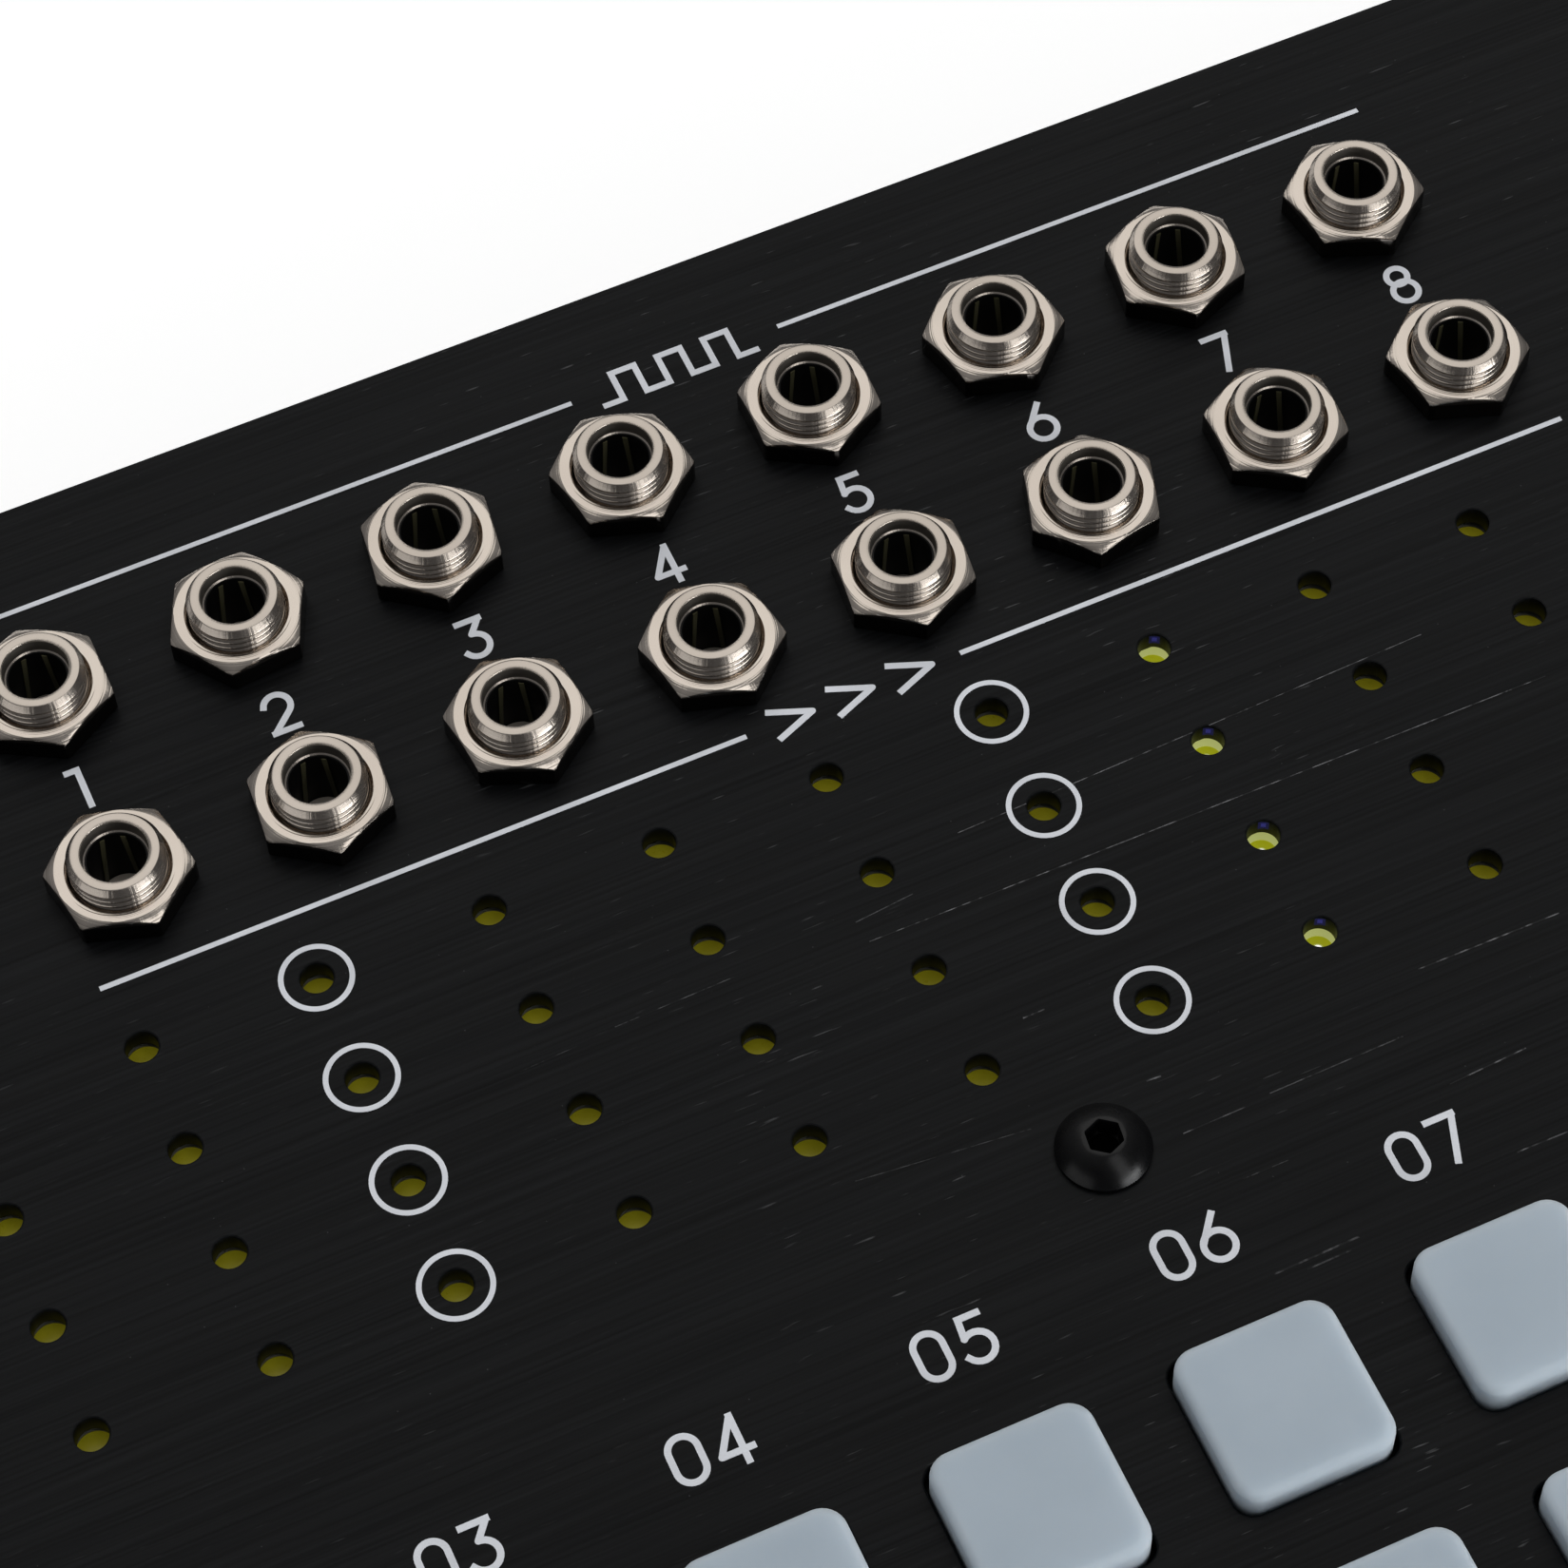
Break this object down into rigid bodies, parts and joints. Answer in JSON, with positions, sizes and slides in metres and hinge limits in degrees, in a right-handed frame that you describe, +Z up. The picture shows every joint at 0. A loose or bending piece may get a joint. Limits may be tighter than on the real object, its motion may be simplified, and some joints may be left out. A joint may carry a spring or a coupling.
{
  "type": "beat sequencer",
  "caption": "Flat desktop beat sequencer: black panel with two rows of patch sockets, a lamp matrix and soft square keys over a folded metal base.",
  "frame": {"origin": "on the desk, under the middle of the case", "axes": "+X to the right along the panel's long side, +Y to the rear edge with the sockets, +Z up out of the panel"},
  "size_m": [0.196, 0.122, 0.0416],
  "materials": {
    "panel": "black anodised, fine brushed grain along X",
    "shell": "black powder coat, fine texture",
    "feet": "matte black",
    "black_screw": "black oxide steel",
    "brass_nickel": "plain nickel plate",
    "nickel": "warm bright nickel plate, satin faces",
    "spring": "spring bronze",
    "board": "dark solder mask",
    "pad": "gold plated contact",
    "socket_plastic": "black moulded plastic",
    "chip": "black moulded package",
    "can": "bare metal can",
    "lamp_body": "white lamp package",
    "lamp_lens": "yellow phosphor lens, off",
    "lamp_lens_lit": "yellow phosphor lens, lit",
    "silicone": "translucent white silicone, matte"
  },
  "bodies": {
    "case": {"top_panel": "panel", "base_shell": "shell", "rear_plate": "shell", "rubber_feet": "feet", "panel_screws": "black_screw", "base_screws": "black_screw", "panel_spacers": "brass_nickel", "upper_standoffs": "brass_nickel", "lower_standoffs": "brass_nickel", "control_board": "board", "main_board": "board", "lamp_housings": "lamp_body", "lamp_lenses": "lamp_lens", "lamp_lenses_lit": "lamp_lens_lit", "keypad_mat": "silicone", "key_contact_pads": "pad", "trigger_jack_housings": "socket_plastic", "accent_jack_housings": "socket_plastic", "trigger_jack_bushings": "nickel", "accent_jack_bushings": "nickel", "trigger_jack_nuts": "nickel", "accent_jack_nuts": "nickel", "jack_contact_springs": "spring", "midi_in_socket": "socket_plastic", "midi_out_socket": "socket_plastic", "dc_inlet": "socket_plastic", "dc_inlet_pin": "brass_nickel", "microcontroller": "chip", "lamp_driver_chips": "chip", "output_buffer_chips": "chip", "crystal": "can", "voltage_regulator": "chip", "capacitors": "can", "board_link_headers": "socket_plastic"},
    "key_1_01": {"key_1_01": "silicone"},
    "key_1_02": {"key_1_02": "silicone"},
    "key_1_03": {"key_1_03": "silicone"},
    "key_1_04": {"key_1_04": "silicone"},
    "key_1_05": {"key_1_05": "silicone"},
    "key_1_06": {"key_1_06": "silicone"},
    "key_1_07": {"key_1_07": "silicone"},
    "key_1_08": {"key_1_08": "silicone"},
    "key_1_09": {"key_1_09": "silicone"},
    "key_1_10": {"key_1_10": "silicone"},
    "key_1_11": {"key_1_11": "silicone"},
    "key_2_01": {"key_2_01": "silicone"},
    "key_2_02": {"key_2_02": "silicone"},
    "key_2_03": {"key_2_03": "silicone"},
    "key_2_04": {"key_2_04": "silicone"},
    "key_2_05": {"key_2_05": "silicone"},
    "key_2_06": {"key_2_06": "silicone"},
    "key_2_07": {"key_2_07": "silicone"},
    "key_2_08": {"key_2_08": "silicone"},
    "key_2_09": {"key_2_09": "silicone"},
    "key_2_10": {"key_2_10": "silicone"},
    "key_2_11": {"key_2_11": "silicone"}
  },
  "joints": [
    {"name": "press_1_01", "type": "slide", "parent": "case", "child": "key_1_01", "axis": [0, 0, -1], "range_m": [0, 0.001], "stiffness_N_per_m": 900, "springref_m": -0.0003},
    {"name": "press_1_02", "type": "slide", "parent": "case", "child": "key_1_02", "axis": [0, 0, -1], "range_m": [0, 0.001], "stiffness_N_per_m": 900, "springref_m": -0.0003},
    {"name": "press_1_03", "type": "slide", "parent": "case", "child": "key_1_03", "axis": [0, 0, -1], "range_m": [0, 0.001], "stiffness_N_per_m": 900, "springref_m": -0.0003},
    {"name": "press_1_04", "type": "slide", "parent": "case", "child": "key_1_04", "axis": [0, 0, -1], "range_m": [0, 0.001], "stiffness_N_per_m": 900, "springref_m": -0.0003},
    {"name": "press_1_05", "type": "slide", "parent": "case", "child": "key_1_05", "axis": [0, 0, -1], "range_m": [0, 0.001], "stiffness_N_per_m": 900, "springref_m": -0.0003},
    {"name": "press_1_06", "type": "slide", "parent": "case", "child": "key_1_06", "axis": [0, 0, -1], "range_m": [0, 0.001], "stiffness_N_per_m": 900, "springref_m": -0.0003},
    {"name": "press_1_07", "type": "slide", "parent": "case", "child": "key_1_07", "axis": [0, 0, -1], "range_m": [0, 0.001], "stiffness_N_per_m": 900, "springref_m": -0.0003},
    {"name": "press_1_08", "type": "slide", "parent": "case", "child": "key_1_08", "axis": [0, 0, -1], "range_m": [0, 0.001], "stiffness_N_per_m": 900, "springref_m": -0.0003},
    {"name": "press_1_09", "type": "slide", "parent": "case", "child": "key_1_09", "axis": [0, 0, -1], "range_m": [0, 0.001], "stiffness_N_per_m": 900, "springref_m": -0.0003},
    {"name": "press_1_10", "type": "slide", "parent": "case", "child": "key_1_10", "axis": [0, 0, -1], "range_m": [0, 0.001], "stiffness_N_per_m": 900, "springref_m": -0.0003},
    {"name": "press_1_11", "type": "slide", "parent": "case", "child": "key_1_11", "axis": [0, 0, -1], "range_m": [0, 0.001], "stiffness_N_per_m": 900, "springref_m": -0.0003},
    {"name": "press_2_01", "type": "slide", "parent": "case", "child": "key_2_01", "axis": [0, 0, -1], "range_m": [0, 0.001], "stiffness_N_per_m": 900, "springref_m": -0.0003},
    {"name": "press_2_02", "type": "slide", "parent": "case", "child": "key_2_02", "axis": [0, 0, -1], "range_m": [0, 0.001], "stiffness_N_per_m": 900, "springref_m": -0.0003},
    {"name": "press_2_03", "type": "slide", "parent": "case", "child": "key_2_03", "axis": [0, 0, -1], "range_m": [0, 0.001], "stiffness_N_per_m": 900, "springref_m": -0.0003},
    {"name": "press_2_04", "type": "slide", "parent": "case", "child": "key_2_04", "axis": [0, 0, -1], "range_m": [0, 0.001], "stiffness_N_per_m": 900, "springref_m": -0.0003},
    {"name": "press_2_05", "type": "slide", "parent": "case", "child": "key_2_05", "axis": [0, 0, -1], "range_m": [0, 0.001], "stiffness_N_per_m": 900, "springref_m": -0.0003},
    {"name": "press_2_06", "type": "slide", "parent": "case", "child": "key_2_06", "axis": [0, 0, -1], "range_m": [0, 0.001], "stiffness_N_per_m": 900, "springref_m": -0.0003},
    {"name": "press_2_07", "type": "slide", "parent": "case", "child": "key_2_07", "axis": [0, 0, -1], "range_m": [0, 0.001], "stiffness_N_per_m": 900, "springref_m": -0.0003},
    {"name": "press_2_08", "type": "slide", "parent": "case", "child": "key_2_08", "axis": [0, 0, -1], "range_m": [0, 0.001], "stiffness_N_per_m": 900, "springref_m": -0.0003},
    {"name": "press_2_09", "type": "slide", "parent": "case", "child": "key_2_09", "axis": [0, 0, -1], "range_m": [0, 0.001], "stiffness_N_per_m": 900, "springref_m": -0.0003},
    {"name": "press_2_10", "type": "slide", "parent": "case", "child": "key_2_10", "axis": [0, 0, -1], "range_m": [0, 0.001], "stiffness_N_per_m": 900, "springref_m": -0.0003},
    {"name": "press_2_11", "type": "slide", "parent": "case", "child": "key_2_11", "axis": [0, 0, -1], "range_m": [0, 0.001], "stiffness_N_per_m": 900, "springref_m": -0.0003}
  ]
}
